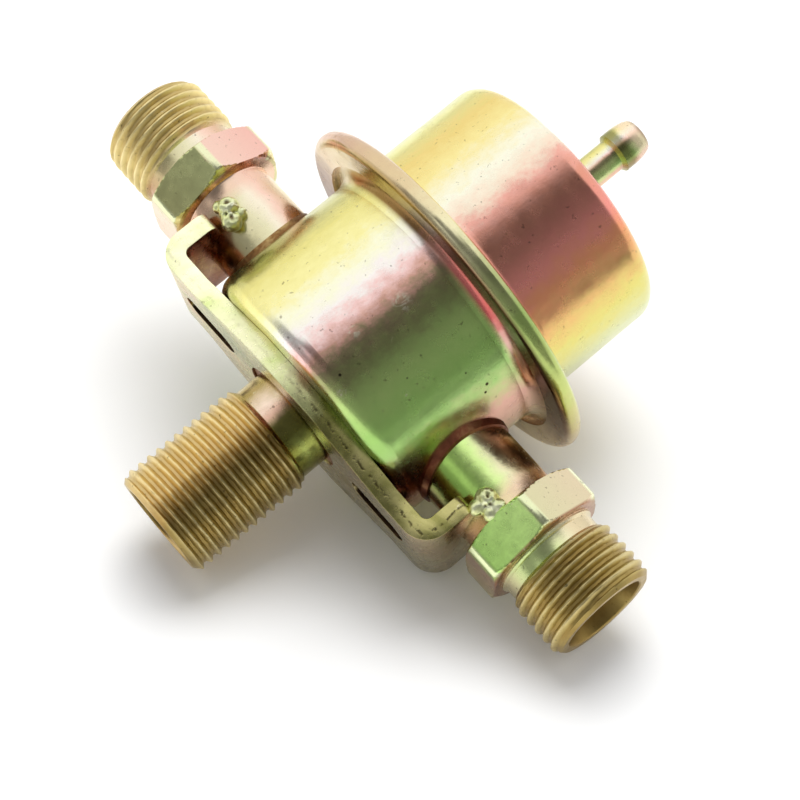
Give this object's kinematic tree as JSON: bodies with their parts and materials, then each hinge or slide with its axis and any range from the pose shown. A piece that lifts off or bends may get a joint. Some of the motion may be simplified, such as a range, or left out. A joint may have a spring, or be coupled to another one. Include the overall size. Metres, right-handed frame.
{
  "type": "fuel pressure regulator",
  "caption": "Steel can with a rolled flange, side unions, a threaded return stub through a folded bracket and a vacuum nipple; a sprung diaphragm valve holds the fuel pressure.",
  "frame": {"origin": "can axis at the underside of the bracket, which bears on the panel", "axes": "+Z along the can axis towards the vacuum nipple; +X along the right-hand union"},
  "size_m": [0.094, 0.0528, 0.0839],
  "materials": {
    "zinc_sheet": "yellow zinc chromate, iridescent, satin",
    "zinc_turned": "yellow zinc chromate over cut threads, dull",
    "weld": "plated weld bead, lumpy",
    "braze": "plated braze, reddish",
    "brass": "turned",
    "bright_steel": "turned or pressed, bright",
    "spring_steel": "drawn wire",
    "rubber": "fabric-backed rubber, matt"
  },
  "bodies": {
    "housing": {"bracket": "zinc_sheet", "fuel_cup": "zinc_sheet", "spring_cover": "zinc_sheet", "vacuum_nipple": "zinc_sheet", "return_stub": "zinc_turned", "valve_seat": "brass", "union_left": "zinc_turned", "union_right": "zinc_turned", "braze_left": "braze", "braze_right": "braze", "braze_collar": "braze", "weld_left_front": "weld", "weld_left_back": "weld", "weld_right_front": "weld", "weld_right_back": "weld", "main_spring": "spring_steel", "spring_cap": "bright_steel"},
    "carrier": {"diaphragm": "rubber", "clamp_washer": "bright_steel", "spring_plate": "bright_steel", "valve_holder": "bright_steel", "retaining_ring": "bright_steel", "valve_plate": "bright_steel", "valve_ball": "bright_steel", "ball_spring": "spring_steel"}
  },
  "joints": [
    {"name": "valve_lift", "type": "slide", "parent": "housing", "child": "carrier", "axis": [0, 0, 1], "range_m": [0, 0.0008], "stiffness_N_per_m": 10600, "deforming": ["main_spring", "diaphragm"]}
  ]
}
